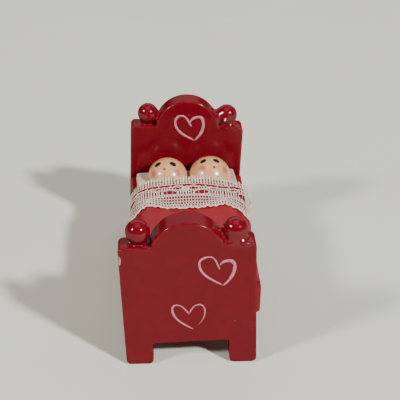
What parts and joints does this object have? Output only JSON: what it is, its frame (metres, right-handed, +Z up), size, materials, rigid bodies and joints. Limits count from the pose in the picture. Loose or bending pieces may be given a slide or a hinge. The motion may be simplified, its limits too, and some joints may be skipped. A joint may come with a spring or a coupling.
{
  "type": "miniature wooden bed",
  "caption": "Miniature painted wooden bed with ball finials on arched end boards, two doll heads on a pillow and a lace band over the blanket.",
  "frame": {"origin": "on the floor under the middle of the bed's bounding box", "axes": "+Z up, +Y from the footboard to the headboard, +X to the right seen from the foot end"},
  "size_m": [0.0561, 0.1072, 0.0705],
  "materials": {
    "red_lacquer": "glossy deep red lacquer",
    "white_paint": "glossy white paint",
    "skin_paint": "glossy varnish over pale wood, painted features",
    "bare_wood": "bare dowel wood",
    "lace": "off-white machine lace"
  },
  "bodies": {
    "root": {"headboard": "red_lacquer", "footboard": "red_lacquer", "mattress": "red_lacquer", "blanket": "red_lacquer", "pillow": "white_paint", "head_left": "skin_paint", "head_right": "skin_paint", "finial_foot_left": "red_lacquer", "finial_foot_right": "red_lacquer", "finial_head_left": "red_lacquer", "finial_head_right": "red_lacquer", "finial_pins": "bare_wood", "board_dowels": "bare_wood", "lace_trim": "lace"}
  },
  "joints": []
}
